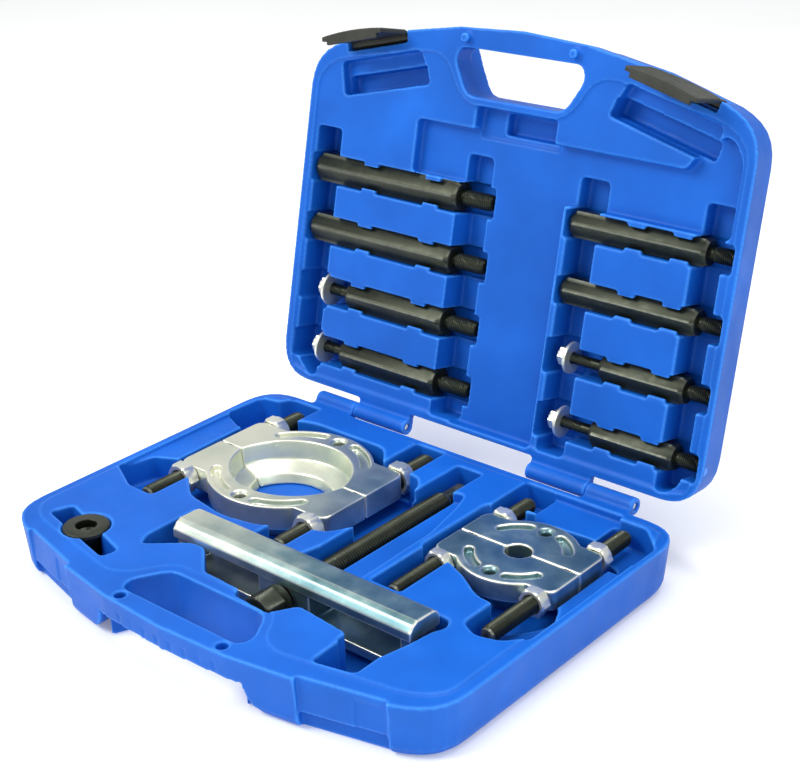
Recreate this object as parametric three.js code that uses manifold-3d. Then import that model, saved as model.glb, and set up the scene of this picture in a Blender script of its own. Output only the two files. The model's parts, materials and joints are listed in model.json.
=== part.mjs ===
// Gear puller set: two bearing separators, a yoke with its forcing screw, a pilot cone and eight
// extension rods, in the pockets of an open two-part moulded case.
//
// Millimetres, +Z up. The origin is the centre of the case's underside, +X runs along the hinge line to
// the right as seen from the handle, and +Y points from the handle to the hinge.

import * as THREE from 'three';
import { mergeVertices } from 'three/addons/utils/BufferGeometryUtils.js';
import Module from 'manifold-3d';

const wasm = await Module();
wasm.setup();

// ---------------------------------------------------------------- driving dimensions

const GAP = 0.4; // clearance between pieces that touch
const HINGE_Y = 132; // hinge axis ahead of the origin
const BASE_DEPTH = 34; // lower half, parting plane to underside
const LID_DEPTH = 29.5; // upper half, parting plane to outer face
const LID_OPEN = 103; // degrees from closed to the stop
const WALL = 2.2; // thickness of the moulded wall

// Case outline. "out" is the distance from the hinge axis towards the handle.
const CASE = {
  half: 172.5, // half the width
  back: 9, // out, at the back edge
  backRadius: 27,
  sideEnd: 214, // out, where the side meets the front corner
  shoulder: 247, // out, where the front corner meets the front arc
  shoulderX: 148,
  crown: 24, // how far the front arc bulges past the shoulder
  taper: 0.018, // how much smaller the outer face is than the rim
};
const HANDLE = { far: 256, wide: 47, middle: 247, middleHalf: 50, near: 226, nearHalf: 38, thick: 16 };
const PLATEAU = { raise: 1.0, recess: 1.6, wall: 1.2 };
const HINGE = { radius: 5.5, inner: 51, split: 97, outer: 132, pinRadius: 2, holeRadius: 2.4 };
const LATCH = { x: 117.5, out: 251, angle: 13.5, width: 51, pivot: 7, reach: 26, plate: 4.5, pin: 1.5 };

// Rods, which lie across the lid. "up" is the distance from the hinge axis, "deep" from the parting plane.
const ROW_UP = [160, 118, 76, 34];
const LARGE_ROD = {
  flats: 19, deep: 12.6, left: -163, right: -38, thread: 25, threadRadius: 5.6,
  shortLeft: -124, studRadius: 4, washerRadius: 12, washerAt: -141.8, nutFlats: 13,
};
const SMALL_ROD = {
  flats: 16.5, deep: 12, left: 51, right: 148, thread: 18, threadRadius: 5,
  shortLeft: 87, studRadius: 3.6, washerRadius: 10.4, washerAt: 64, nutFlats: 11,
};

// Separators. Each lies with its split line along X and its studs along Y.
const LARGE = {
  x: -74.5, out: 90, top: -0.5, lugHalf: 65, lugDepth: 38, ring: 54.5, plate: 16.5, body: 25, bodyRadius: 50,
  studSpan: 56.5, studRadius: 6.3, studZ: -8.4, nutFlats: 19, nutThick: 9,
  holeAt: 46, holeRadius: 4, slotRadius: 48.5, slotWidth: 6.5, slotDepth: 4,
  slotFrom: 38, slotTo: 74,
};
const SMALL = {
  x: 106, out: 85, top: -0.8, lugHalf: 43.5, lugDepth: 27, ring: 37, plate: 13, body: 23, bodyRadius: 33,
  studSpan: 34.5, studRadius: 5.3, studZ: -7.2, nutFlats: 16, nutThick: 7.5,
  holeAt: 27.5, holeRadius: 3.3, slotRadius: 29, slotWidth: 5.5, slotDepth: 4,
  slotFrom: 32, slotTo: 68,
};

// Yoke, forcing screw and pilot cone.
const YOKE = {
  x: 24.5, out: 184.5, half: 93.5, width: 25, arm: 11, top: 9, bottom: -30, bossHalf: 20, end: 9,
};
const SCREW = {
  x: 22, z: -10.5, radius: 7, collarRadius: 9.8, headFlats: 19,
  outTip: 30, outShoulder: 50, outCollar: 198, outHead: 204, outEnd: 218,
  tipRadius: 5.2, tipPoint: 4, tipEndRadius: 2.5,
  stemRadius: 3, stemLength: 7, socketRadius: 3.4, socketDepth: 8,
};
const CONE = {
  x: -118, out: 223.6, top: 1.3,
  radius: 14.5, flange: 3.3, coneTop: 11.5, coneEnd: 7.5, length: 22, bore: 6.5,
};
const BORE_ROOM = 0.3; // between a stud and the hole it runs in
const WASHER_THICK = 2.2;
const ROD_NUT_THICK = 6.5;

// ---------------------------------------------------------------- solids

function solid(geometry) {
  const bare = geometry.index ? geometry.clone() : geometry;
  bare.deleteAttribute('normal');
  bare.deleteAttribute('uv');
  const merged = mergeVertices(bare, 1e-4);
  return new wasm.Manifold(new wasm.Mesh({
    numProp: 3,
    vertProperties: new Float32Array(merged.attributes.position.array),
    triVerts: new Uint32Array(merged.index.array),
  }));
}

function geometryOf(body) {
  const data = body.getMesh();
  const geometry = new THREE.BufferGeometry();
  geometry.setAttribute('position', new THREE.BufferAttribute(new Float32Array(data.vertProperties), 3));
  geometry.setIndex(new THREE.BufferAttribute(new Uint32Array(data.triVerts), 1));
  geometry.computeVertexNormals();
  return geometry;
}

function joined(parts) {
  return parts.reduce((whole, part) => whole.add(part));
}

function less(body, cuts) {
  return cuts.reduce((rest, cut) => rest.subtract(cut), body);
}

function box(x0, x1, y0, y1, z0, z1) {
  const geometry = new THREE.BoxGeometry(x1 - x0, y1 - y0, z1 - z0);
  return solid(geometry.translate((x0 + x1) / 2, (y0 + y1) / 2, (z0 + z1) / 2));
}

// A polygon with round corners. Points are [x, y], or [x, y, radius] where a corner has its own radius.
function roundedShape(points, radius = 0) {
  const shape = new THREE.Shape();
  points.forEach(([x, y, own], i) => {
    const before = points[(i + points.length - 1) % points.length];
    const after = points[(i + 1) % points.length];
    const corner = new THREE.Vector2(x, y);
    const back = new THREE.Vector2(before[0] - x, before[1] - y);
    const on = new THREE.Vector2(after[0] - x, after[1] - y);
    const cut = Math.min(own ?? radius, 0.45 * back.length(), 0.45 * on.length());
    const start = corner.clone().addScaledVector(back.normalize(), cut);
    const end = corner.clone().addScaledVector(on.normalize(), cut);
    if (i === 0) shape.moveTo(start.x, start.y);
    else shape.lineTo(start.x, start.y);
    if (cut > 0) shape.quadraticCurveTo(x, y, end.x, end.y);
  });
  shape.closePath();
  return shape;
}

// The same polygon with every side moved outwards by a distance.
function grown(points, distance) {
  const area = points.reduce((sum, [x, y], i) => {
    const [nextX, nextY] = points[(i + 1) % points.length];
    return sum + x * nextY - nextX * y;
  }, 0);
  const turn = Math.sign(area) * distance;
  return points.map(([x, y], i) => {
    const before = points[(i + points.length - 1) % points.length];
    const after = points[(i + 1) % points.length];
    const inward = new THREE.Vector2(x - before[0], y - before[1]).normalize();
    const outward = new THREE.Vector2(after[0] - x, after[1] - y).normalize();
    const share = turn / (1 + inward.dot(outward));
    return [x + share * (inward.y + outward.y), y - share * (inward.x + outward.x)];
  });
}

function circlePoints(x, y, radius, count = 20) {
  return Array.from({ length: count }, (_, i) => {
    const angle = (2 * Math.PI * (i + 0.5)) / count;
    return [x + radius * Math.cos(angle), y + radius * Math.sin(angle)];
  });
}

function prism(shape, low, high, curveSegments = 2) {
  const geometry = new THREE.ExtrudeGeometry(shape, {
    depth: high - low, steps: 1, bevelEnabled: false, curveSegments,
  });
  return solid(geometry.translate(0, 0, low));
}

// A round bar along an axis. sides of 6 make a hexagon with one corner towards +Z.
function bar(axis, radius, from, to, sides = 20, endRadius = radius) {
  const geometry = new THREE.CylinderGeometry(endRadius, radius, to - from, sides);
  geometry.translate(0, (from + to) / 2, 0);
  if (axis === 'x') geometry.rotateZ(-Math.PI / 2);
  if (axis === 'z') geometry.rotateX(Math.PI / 2);
  return solid(geometry);
}

function cornerRadius(acrossFlats) {
  return acrossFlats / Math.sqrt(3);
}

// ---------------------------------------------------------------- scene helpers

const object = new THREE.Group();
const base = new THREE.Group();
const lid = new THREE.Group();
base.position.set(0, HINGE_Y, BASE_DEPTH);
lid.position.copy(base.position);
lid.rotation.x = THREE.MathUtils.degToRad(180 - LID_OPEN);
object.add(base, lid);

const LOOKS = {
  plastic: { color: 0x2a70e6, roughness: 0.45, metalness: 0 },
  latch: { color: 0x24261f, roughness: 0.6, metalness: 0 },
  zinc: { color: 0xc9d0d0, roughness: 0.25, metalness: 1 },
  oxide: { color: 0x2a2e27, roughness: 0.4, metalness: 0.8 },
  steel: { color: 0xb8bcc0, roughness: 0.3, metalness: 1 },
};

function place(name, body, look, parent, position = [0, 0, 0]) {
  const mesh = new THREE.Mesh(geometryOf(body), new THREE.MeshStandardMaterial(LOOKS[look]));
  mesh.name = name;
  mesh.position.set(...position);
  parent.add(mesh);
  return mesh;
}

// ---------------------------------------------------------------- case halves

// Both halves share one outline. side is -1 in the base, whose handle points to -Y, and +1 in the lid.
function caseOutline(side, inset = 0) {
  const half = CASE.half - inset;
  const back = CASE.back + inset;
  const turn = CASE.backRadius;
  const shoulder = CASE.shoulder - inset;
  const shape = new THREE.Shape();
  shape.moveTo(-half + turn, side * back);
  shape.lineTo(half - turn, side * back);
  shape.quadraticCurveTo(half, side * back, half, side * (back + turn));
  shape.lineTo(half, side * CASE.sideEnd);
  shape.bezierCurveTo(
    half, side * (CASE.sideEnd + 19), half - 9, side * (shoulder - 6), CASE.shoulderX, side * shoulder,
  );
  shape.quadraticCurveTo(0, side * (shoulder + 2 * CASE.crown), -CASE.shoulderX, side * shoulder);
  shape.bezierCurveTo(
    -half + 9, side * (shoulder - 6), -half, side * (CASE.sideEnd + 19), -half, side * CASE.sideEnd,
  );
  shape.lineTo(-half, side * (back + turn));
  shape.quadraticCurveTo(-half, side * back, -half + turn, side * back);
  return shape;
}

// The sealing step: a line inside the rim that swings round the handle hole.
function plateauPoints(side, inset) {
  const rightHalf = [
    [0, 221 - inset],
    [35, 221 - inset, 10],
    [45, 228 - inset, 10],
    [56, 246 - inset, 14],
    [68, 251 - inset, 12],
    [150, 236 - inset, 26],
    [166 - inset, 224 - inset, 16],
    [166 - inset, 15 + inset, 14],
  ];
  const leftHalf = rightHalf.slice(1).reverse().map(([x, out, radius]) => [-x, out, radius]);
  return [...rightHalf, ...leftHalf].map(([x, out, radius]) => [x, side * out, radius]);
}

function handlePoints(side) {
  const { far, wide, middle, middleHalf, near, nearHalf } = HANDLE;
  return [
    [-wide, side * far, 5], [-middleHalf, side * middle, 5], [-nearHalf, side * near, 6],
    [nearHalf, side * near, 6], [middleHalf, side * middle, 5], [wide, side * far, 5],
  ];
}

// A tray opening upwards: rim at z = 0, outer face at z = -depth, smaller towards that face.
function tapered(shape, depth, bevel) {
  const above = bevel + 1;
  const geometry = new THREE.ExtrudeGeometry(shape, {
    depth: depth + above - 2 * bevel, steps: 1, curveSegments: 6, bevelEnabled: true,
    bevelThickness: bevel, bevelSize: bevel, bevelOffset: -bevel, bevelSegments: 2,
  });
  geometry.translate(0, 0, bevel - depth);
  const points = geometry.attributes.position;
  const middle = (CASE.shoulder + CASE.back) / 2;
  geometry.computeBoundingBox();
  const centre = Math.sign(geometry.boundingBox.max.y + geometry.boundingBox.min.y) * middle;
  for (let i = 0; i < points.count; i += 1) {
    const shrink = 1 + (CASE.taper * Math.min(points.getZ(i), 0)) / depth;
    points.setX(i, points.getX(i) * shrink);
    points.setY(i, centre + (points.getY(i) - centre) * shrink);
  }
  return less(solid(geometry), [box(-250, 250, -350, 350, 0, 60)]);
}

// The open space under the handle bar, so that fingers reach round it.
function handleBay(side, depth) {
  const { middle, middleHalf, near, nearHalf } = HANDLE;
  const points = [
    [-70, side * 290], [-57, side * 263, 12], [-middleHalf, side * middle, 6], [-nearHalf, side * near, 6],
    [nearHalf, side * near, 6], [middleHalf, side * middle, 6], [57, side * 263, 12], [70, side * 290],
  ];
  return prism(roundedShape(points), -depth - 5, -HANDLE.thick);
}

// A pocket is { points: [[x, out], ...], floor, round }, cut from above down to z = floor.
function pocketCut(side, { points, floor, round = 3 }) {
  return prism(roundedShape(points.map(([x, out, own]) => [x, side * out, own]), round), floor, 20);
}

function pocketWall(side, { points, floor }) {
  return prism(roundedShape(grown(points.map(([x, out]) => [x, side * out]), WALL)), floor - WALL, 20);
}

// The hollow between the two walls of a half, open to the outside through the blow hole.
function hollow(side, depth, pockets, keepSolid) {
  const inside = prism(caseOutline(side, WALL + 2), WALL - depth, -WALL - 1.6, 4);
  const walls = pockets.map((pocket) => pocketWall(side, pocket));
  return less(inside, [...walls, ...keepSolid]);
}

// Two knuckles on one half. from and to are distances from the middle of the hinge line.
function knuckles(side, from, to, belowRim) {
  const parts = [];
  for (const mirror of [-1, 1]) {
    const [x0, x1] = mirror > 0 ? [from, to] : [-to, -from];
    const barrel = bar('x', HINGE.radius, x0, x1, 24);
    const strap = belowRim
      ? box(x0, x1, side * (CASE.back + 4), 0, -HINGE.radius, -GAP)
      : box(x0, x1, 0, side * (CASE.back + 4), -HINGE.radius, -GAP);
    parts.push(barrel.add(strap).subtract(bar('x', HINGE.holeRadius, x0 - 1, x1 + 1, 16)));
  }
  return parts;
}

function pinBore() {
  return [-1, 1].map((mirror) => {
    const x0 = Math.min(mirror * (HINGE.inner - 2), mirror * (HINGE.outer + 2));
    return bar('x', HINGE.holeRadius, x0, x0 + HINGE.outer - HINGE.inner + 4, 16);
  });
}

// Finger ribs under the handle bar: a row of grooves across its outer edge.
function handleGrooves(side) {
  const cuts = [];
  for (let i = -4; i <= 3; i += 1) {
    const x = 1.5 + 11 * (i + 0.5);
    const out = CASE.shoulder + CASE.crown * (1 - (x / CASE.shoulderX) ** 2) + 0.4;
    cuts.push(solid(new THREE.CylinderGeometry(2.6, 2.6, 16, 8).rotateX(Math.PI / 2))
      .translate([x, side * out, -HANDLE.thick]));
  }
  return cuts;
}

// ---------------------------------------------------------------- base

const BASE_POCKETS = [
  { // large separator
    points: [
      [-146, 128], [-148, 52], [-138, 46], [-106, 34], [-43, 34], [-28, 52], [2, 52], [10, 62], [20, 112],
      [14, 120], [3, 140], [-22, 146], [-34, 158], [-62, 163], [-97, 157], [-120, 138],
    ],
    floor: -26, round: 6,
  },
  { points: [[-166, 27], [-166, 158], [-150, 163], [-140, 150], [-140, 30]], floor: -3.2, round: 4 },
  { // rear left stud
    points: [[-166, 27], [-168, 56], [-150, 64], [-138, 62], [-118, 46], [-118, 14], [-144, 14], [-150, 24]],
    floor: -20, round: 3,
  },
  { // front left stud
    points: [[-167, 157], [-162, 131], [-144, 122], [-117, 122], [-117, 172], [-138, 172]],
    floor: -20, round: 3,
  },
  { points: [[-30, 14], [-6, 14], [-6, 60], [-30, 60]], floor: -20, round: 2 },
  { points: [[-30, 120], [-6, 120], [-6, 166], [-30, 166]], floor: -20, round: 2 },
  { // small separator
    points: [
      [58, 52], [80, 48], [98, 42], [128, 40], [150, 46], [152, 54], [152, 122],
      [138, 142], [118, 140], [99, 128], [80, 120], [58, 118],
    ],
    floor: -24.5, round: 5,
  },
  { points: [[60.5, 14], [82.5, 14], [82.5, 60], [60.5, 60]], floor: -17, round: 2 },
  { points: [[80, 14], [133, 14], [133, 44], [80, 44]], floor: -6, round: 3 },
  { points: [[60.5, 108], [82.5, 108], [82.5, 164], [60.5, 164]], floor: -17, round: 2 },
  { points: [[130, 20], [152, 20], [168, 36], [168, 60], [130, 60]], floor: -17, round: 3 },
  { // front right stud
    points: [[130, 110], [153, 110], [167, 140], [167, 156], [156, 168], [142, 172], [130, 166]],
    floor: -17, round: 3,
  },
  { points: [[151, 58], [167, 58], [167, 152], [151, 152]], floor: -9, round: 3 }, // ledge beside it
  { // valley round the forcing screw
    points: [[12, 62], [40, 52], [46, 69], [53, 102], [55, 172], [8, 172], [20, 118], [20, 105], [9, 81]],
    floor: -7, round: 4,
  },
  { points: [[12, 24], [32, 24], [32, 174], [12, 174]], floor: -18.5, round: 2 },
  { // yoke
    points: [
      [-80, 169], [122, 169], [126, 176], [122, 184], [120, 200], [115, 222], [87, 222], [87, 213],
      [48, 209], [39, 224], [9, 222], [9, 217], [-21, 216], [-41, 197], [-52, 198], [-75, 217], [-80, 208],
    ],
    floor: -31, round: 3,
  },
  { points: [[88, 205], [115, 205], [116, 238], [90, 244]], floor: -24, round: 3 },
  { points: [[-150, 226], [-145, 212], [-80, 231], [-82, 242]], floor: -15, round: 3 }, // beside the cone
  { points: circlePoints(CONE.x, CONE.out, 12.4), floor: -22.5, round: 0 }, // cone
  { points: circlePoints(CONE.x, CONE.out, CONE.radius + 0.8), floor: -2.4, round: 0 }, // its flange
];

// Where a latch comes down over the base: a panel set back from the rim, and the undercut for its hook.
function latchRecess(mirror) {
  const half = LATCH.width / 2 + 2.5 * GAP;
  const panel = box(-half, half, -20, -2.6, -23, 2);
  const undercut = box(-half, half, -20, 1.5, -BASE_DEPTH - 5, -22.6);
  const step = box(6.5, half - 1, -20, -1.8, -23, -5);
  return joined([panel, undercut, step])
    .rotate([0, 0, mirror * LATCH.angle]).translate([mirror * LATCH.x, 2 - LATCH.out, 0]);
}

// The low blocks beside the handle have round lower corners towards it.
function roundedFeet() {
  const round = 19;
  return [-1, 1].map((mirror) => {
    const near = mirror * 56;
    const far = mirror * (58 + round);
    const [left, right] = [Math.min(near, far), Math.max(near, far)];
    const corner = box(left, right, -300, -238, -BASE_DEPTH - 1, round - BASE_DEPTH);
    return corner.subtract(bar('y', round, -301, -237, 32).translate([far, 0, round - BASE_DEPTH]));
  });
}

function caseBase() {
  const side = -1;
  const shell = tapered(caseOutline(side), BASE_DEPTH, 6);
  const plateau = prism(roundedShape(plateauPoints(side, PLATEAU.wall)), -8, PLATEAU.raise);
  const recesses = [latchRecess(-1), latchRecess(1)];
  const shut = [-1, 1].map((mirror) => box(
    Math.min(mirror * (HINGE.inner - 1), mirror * (HINGE.split + GAP)),
    Math.max(mirror * (HINGE.inner - 1), mirror * (HINGE.split + GAP)),
    -7, 20, -7, 7,
  ));
  const bay = handleBay(side, BASE_DEPTH);
  const bayWall = prism(roundedShape([
    [-84, -290], [-82, -236], [-42, -222], [42, -222], [82, -236], [84, -290],
  ]), -BASE_DEPTH - 5, 5);
  const latchWall = [-1, 1].map((mirror) => box(-29, 29, -30, 5, -BASE_DEPTH - 5, 5)
    .rotate([0, 0, mirror * LATCH.angle]).translate([mirror * LATCH.x, 2 - LATCH.out, 0]));
  const inside = hollow(side, BASE_DEPTH, BASE_POCKETS, [bayWall, ...latchWall]);
  const sockets = [-1, 1].map((mirror) => bar('z', 3.6, -6, 3, 12).translate([mirror * 41.6, -262, 0]));
  const blowHole = bar('y', 1.5, -16, -4, 8).translate([20, 0, -22]);
  const body = less(shell.add(plateau).subtract(box(-250, 250, -350, 20, -GAP / 2, 0.0001)
    .subtract(prism(roundedShape(plateauPoints(side, PLATEAU.wall)), -8, 8))), [
    bay, prism(roundedShape(handlePoints(side)), -60, 60), ...recesses, ...sockets,
    ...BASE_POCKETS.map((pocket) => pocketCut(side, pocket)), inside, blowHole, ...handleGrooves(side),
    ...roundedFeet(),
  ]);
  return joined([less(body, shut), ...knuckles(side, HINGE.split + GAP / 2, HINGE.outer, true)])
    .subtract(joined(pinBore()));
}

// ---------------------------------------------------------------- lid

function rodBeds() {
  return ROW_UP.flatMap((up) => [
    [LARGE_ROD, LARGE_ROD.left - 2, LARGE_ROD.right + LARGE_ROD.thread + 2],
    [SMALL_ROD, SMALL_ROD.left - 2, SMALL_ROD.right + SMALL_ROD.thread + 1.5],
  ].map(([rod, left, right]) => {
    const half = rod.flats / 2 + 0.6;
    return {
      points: [[left, up - half], [right, up - half], [right, up + half], [left, up + half]],
      floor: -rod.deep - cornerRadius(rod.flats) - GAP,
      round: 2,
    };
  }));
}

// The washers are wider than the rods' beds, so each has a slot of its own across the bed.
function washerSlots() {
  return ROW_UP.slice(2).flatMap((up) => [LARGE_ROD, SMALL_ROD].map((rod) => {
    const half = rod.washerRadius + 1;
    const left = rod.washerAt - 16;
    const right = rod.washerAt + 4;
    return {
      points: [[left, up - half], [right, up - half], [right, up + half], [left, up + half]],
      floor: Math.max(-rod.deep - rod.washerRadius - GAP, WALL + 0.5 - LID_DEPTH),
      round: 2,
    };
  }));
}

// The outer two channels are cut across where they meet the round back corners of the case.
function fingerChannels() {
  const [near, far] = [14, 189];
  const shapes = [[-36, -16], [52, 73]].map(([left, right]) => (
    [[left, near], [right, near], [right, far], [left, far]]
  ));
  shapes.push([[-163, far], [-163, 36], [-157, 21], [-148, near], [-141, near], [-141, far]]);
  shapes.push([[160, far], [160, 34], [156, 20], [149, near], [141, near], [141, far]]);
  return shapes.map((points) => ({ points, floor: -21, round: 3 }));
}

// Parallelograms beside the latches, each with a deeper slot.
function latchPockets() {
  const place2d = (mirror, points) => points.map(([along, off]) => {
    const angle = THREE.MathUtils.degToRad(LATCH.angle);
    return [
      mirror * (LATCH.x - 3 + along * Math.cos(angle) + off * Math.sin(angle)),
      LATCH.out - along * Math.sin(angle) + off * Math.cos(angle),
    ];
  });
  return [-1, 1].flatMap((mirror) => [
    { points: place2d(mirror, [[-39, -32], [36, -32], [36, -9], [-33, -9]]), floor: -9, round: 3 },
    { points: place2d(mirror, [[-38, -31], [35, -31], [35, -19], [-37, -19]]), floor: -17, round: 2 },
  ]);
}

const LID_POCKETS = [
  ...rodBeds(),
  ...washerSlots(),
  ...fingerChannels(),
  ...latchPockets(),
  { // relief over the yoke, and the low middle column
    points: [
      [-76, 206], [-76, 170.6], [-20, 170.6], [-20, 13], [47, 13], [47, 170.6],
      [163, 170.6], [163, 216], [157, 226],
      [150, 229], [134, 217], [127, 206],
    ],
    floor: -9.6, round: 3,
  },
  { points: [[-29, 201], [34, 201], [34, 221], [-29, 221]], floor: -11, round: 3 },
  { points: [[-10, 205], [34, 205], [34, 219], [-10, 219]], floor: -19, round: 2 },
];

function latchNotch(mirror) {
  const half = LATCH.width / 2 + GAP;
  const lidNotch = box(-half, half, -4, 40, -16, 5);
  return lidNotch.rotate([0, 0, -mirror * LATCH.angle]).translate([mirror * LATCH.x, LATCH.out, 0]);
}

function latchPinBore(mirror) {
  const half = LATCH.width / 2 + 4;
  return bar('x', LATCH.pin + 0.3, -half, half, 12).rotate([0, 0, -mirror * LATCH.angle])
    .translate([mirror * LATCH.x, LATCH.out, -LATCH.pivot]);
}

function caseLid() {
  const side = 1;
  const shell = tapered(caseOutline(side), LID_DEPTH, 6);
  const rimCut = box(-250, 250, -20, 350, -GAP / 2, 20);
  const recess = prism(roundedShape(plateauPoints(side, 0)), -PLATEAU.recess, 20);
  const shut = [-1, 1].map((mirror) => box(
    Math.min(mirror * (HINGE.split - GAP), mirror * (HINGE.outer + 1)),
    Math.max(mirror * (HINGE.split - GAP), mirror * (HINGE.outer + 1)),
    -20, 7, -7, 7,
  ));
  const bayWall = prism(roundedShape([
    [-74, 290], [-60, 250], [-42, 222], [42, 222], [60, 250], [74, 290],
  ]), -LID_DEPTH - 5, 5);
  const notchWall = [-1, 1].map((mirror) => box(-31, 31, -8, 40, -LID_DEPTH - 5, 5)
    .rotate([0, 0, -mirror * LATCH.angle]).translate([mirror * LATCH.x, LATCH.out, 0]));
  const inside = hollow(side, LID_DEPTH, LID_POCKETS, [bayWall, ...notchWall]);
  const blowHole = bar('y', 1.5, 4, 16, 8).translate([20, 0, -20]);
  const body = less(shell, [
    rimCut, recess, handleBay(side, LID_DEPTH), prism(roundedShape(handlePoints(side)), -60, 60),
    ...LID_POCKETS.map((pocket) => pocketCut(side, pocket)), inside, blowHole,
    latchNotch(-1), latchNotch(1), latchPinBore(-1), latchPinBore(1), ...handleGrooves(side),
  ]);
  const pegs = [-1, 1].map((mirror) => bar('z', 3, -2, 4.5, 12).translate([mirror * 41.6, 262, 0]));
  return joined([less(body, shut), ...pegs, ...knuckles(side, HINGE.inner, HINGE.split - GAP / 2, false)])
    .subtract(joined(pinBore()));
}

// A curved ribbed plate on a pivot barrel. It reaches over the parting plane and its hook grips the base.
function latchBody() {
  const half = LATCH.width / 2;
  const barrel = bar('x', 3.2, -half, half, 16);
  const inner = 1.2;
  const plate = box(-half, half, inner, inner + LATCH.plate, -3, LATCH.pivot + LATCH.reach);
  const tip = LATCH.pivot + LATCH.reach;
  const hook = box(-half + 4, half - 4, inner - 2.7, inner + 1, tip - 3, tip);
  const ribs = [];
  for (let i = 0; i < 6; i += 1) {
    const z = LATCH.pivot + 4 + 3.4 * i;
    ribs.push(box(-half + 2, half - 2, inner + LATCH.plate - 0.5, inner + LATCH.plate + 0.9, z, z + 1.5));
  }
  return joined([barrel, plate, hook, ...ribs]).subtract(bar('x', LATCH.pin + 0.3, -half - 1, half + 1, 12));
}

function placeLatch(name, mirror) {
  const group = new THREE.Group();
  group.position.set(mirror * LATCH.x, LATCH.out, -LATCH.pivot);
  group.rotation.z = THREE.MathUtils.degToRad(-mirror * LATCH.angle);
  lid.add(group);
  place(`latch_${name}`, latchBody(), 'latch', group);
  const half = LATCH.width / 2 + 3.4;
  place(`latch_pin_${name}`, bar('x', LATCH.pin, -half, half, 12), 'steel', group);
}

// ---------------------------------------------------------------- separators

// Half of a round opening whose centre lies past the split line, so that the closed pair is lens-shaped.
function lensCut(levels, offset) {
  return joined(levels.map(([top, bottom, topRadius, bottomRadius]) => (
    bar('z', bottomRadius, bottom, top, 32, topRadius).translate([0, -offset, 0])
  )));
}

function slotCut(size, from, to) {
  const shape = new THREE.Shape();
  const start = THREE.MathUtils.degToRad(from);
  const end = THREE.MathUtils.degToRad(to);
  const { slotRadius, slotDepth } = size;
  const half = size.slotWidth / 2;
  const roundEnd = (angle, first) => shape.absarc(
    slotRadius * Math.cos(angle), slotRadius * Math.sin(angle), half, first, first + Math.PI, false,
  );
  shape.absarc(0, 0, slotRadius + half, start, end, false);
  roundEnd(end, end);
  shape.absarc(0, 0, slotRadius - half, end, start, true);
  roundEnd(start, start + Math.PI);
  return prism(shape, -slotDepth, 2, 3);
}

// The rear half, in the separator's own frame: split line along X, top face at z = 0.
function separatorHalf(size, opening) {
  const { lugHalf, lugDepth, ring, plate, body, bodyRadius } = size;
  const lugs = prism(roundedShape([
    [-lugHalf, -lugDepth, 7], [lugHalf, -lugDepth, 7], [lugHalf, lugDepth, 7], [-lugHalf, lugDepth, 7],
  ]), -plate, 0);
  const disc = bar('z', ring, -plate, 0, 40);
  const bowl = bar('z', bodyRadius - 4, -body, -plate + 1, 32, bodyRadius);
  const whole = joined([lugs, disc, bowl]);
  const split = box(-200, 200, GAP / 2, 200, -60, 60);
  const studs = [-1, 1].map((mirror) => (
    bar('y', size.studRadius + BORE_ROOM, -1, 200, 12)
      .translate([mirror * size.studSpan, 0, size.studZ - size.top])
  ));
  const slots = [[size.slotFrom, size.slotTo], [180 - size.slotTo, 180 - size.slotFrom]]
    .map(([from, to]) => slotCut(size, from, to));
  const hole = bar('z', size.holeRadius, -60, 2, 12).translate([0, size.holeAt, 0]);
  return less(whole.intersect(split), [opening, ...studs, ...slots, hole]);
}

function hexNut(flats, thick, bore) {
  const nut = bar('y', cornerRadius(flats), -thick / 2, thick / 2, 6).rotate([0, 30, 0]);
  return nut.subtract(bar('y', bore, -thick, thick, 12));
}

function placeSeparator(name, size, opening, studEnds) {
  const half = separatorHalf(size, opening);
  const centre = [size.x, -size.out, size.top];
  place(`${name}_separator_rear`, half, 'zinc', base, centre);
  place(`${name}_separator_front`, half.rotate([0, 0, 180]), 'zinc', base, centre);
  [['left', -1], ['right', 1]].forEach(([side, mirror]) => {
    const x = size.x + mirror * size.studSpan;
    const [from, to] = studEnds[side];
    const stud = bar('y', size.studRadius, -to, -from, 12);
    place(`${name}_stud_${side}`, stud, 'oxide', base, [x, 0, size.studZ]);
    [['rear', 1], ['front', -1]].forEach(([end, way]) => {
      const nut = hexNut(size.nutFlats, size.nutThick, size.studRadius + BORE_ROOM);
      const y = -size.out + way * (size.lugDepth + size.nutThick / 2 + GAP);
      place(`${name}_nut_${end}_${side}`, nut, 'steel', base, [x, y, size.studZ]);
    });
  });
}

// ---------------------------------------------------------------- yoke, screw, cone

// The yoke lies on its side: two long arms one above the other, joined by the centre boss and the ends.
function yoke() {
  const half = YOKE.width / 2;
  const profile = roundedShape([
    [-half, 0], [half, 0], [half, 6.5], [half - 4, 10.5], [-half + 6, YOKE.arm], [-half, 5.5],
  ], 1);
  const arm = prism(profile, -YOKE.half, YOKE.half, 3);
  const upper = arm.rotate([90, 0, 90]).translate([0, 0, YOKE.top - YOKE.arm]);
  const lower = arm.rotate([90, 0, 90]).mirror([0, 0, 1]).translate([0, 0, YOKE.bottom + YOKE.arm]);
  const bossX = SCREW.x - YOKE.x;
  const [bossLeft, bossRight] = [bossX - YOKE.bossHalf, bossX + YOKE.bossHalf];
  const boss = box(bossLeft, bossRight, 1 - half, half - 1, YOKE.bottom + 2, YOKE.top - 8);
  const ends = [-1, 1].map((mirror) => {
    const outer = mirror * (YOKE.half - 1.5);
    const inner = mirror * (YOKE.half - YOKE.end);
    const [left, right] = [Math.min(outer, inner), Math.max(outer, inner)];
    return box(left, right, -half + 2, half - 2, YOKE.bottom + 2, YOKE.top - 2);
  });
  const bore = bar('y', SCREW.radius + BORE_ROOM, -60, 60, 24).translate([bossX, 0, SCREW.z]);
  return joined([upper, lower, boss, ...ends]).subtract(bore);
}

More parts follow.
